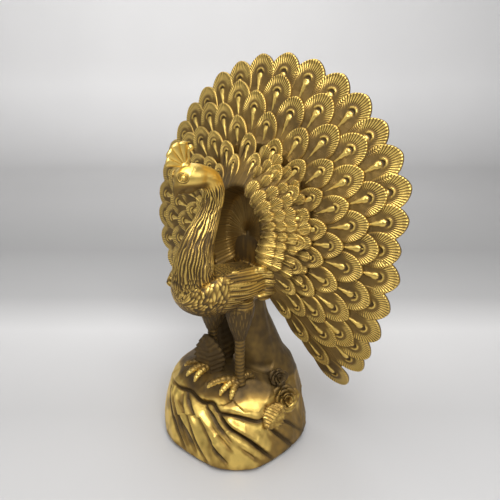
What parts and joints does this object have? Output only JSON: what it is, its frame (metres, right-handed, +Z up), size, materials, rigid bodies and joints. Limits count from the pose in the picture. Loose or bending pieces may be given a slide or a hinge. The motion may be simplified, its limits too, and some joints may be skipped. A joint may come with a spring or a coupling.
{
  "type": "peacock figurine",
  "caption": "Cast brass peacock with its tail spread in a fan of eye feathers, standing on a rock with roses; rests on its flat underside.",
  "frame": {"origin": "on the flat underside of the rock, under the middle of the figure", "axes": "+Z up, the bird faces -Y, its left side is +X"},
  "size_m": [0.2306, 0.1216, 0.295],
  "materials": {
    "antique_brass": "antique brass, polished high spots and dark brown patina in the hollows"
  },
  "bodies": {
    "root": {"peacock_figurine": "antique_brass"}
  },
  "joints": []
}
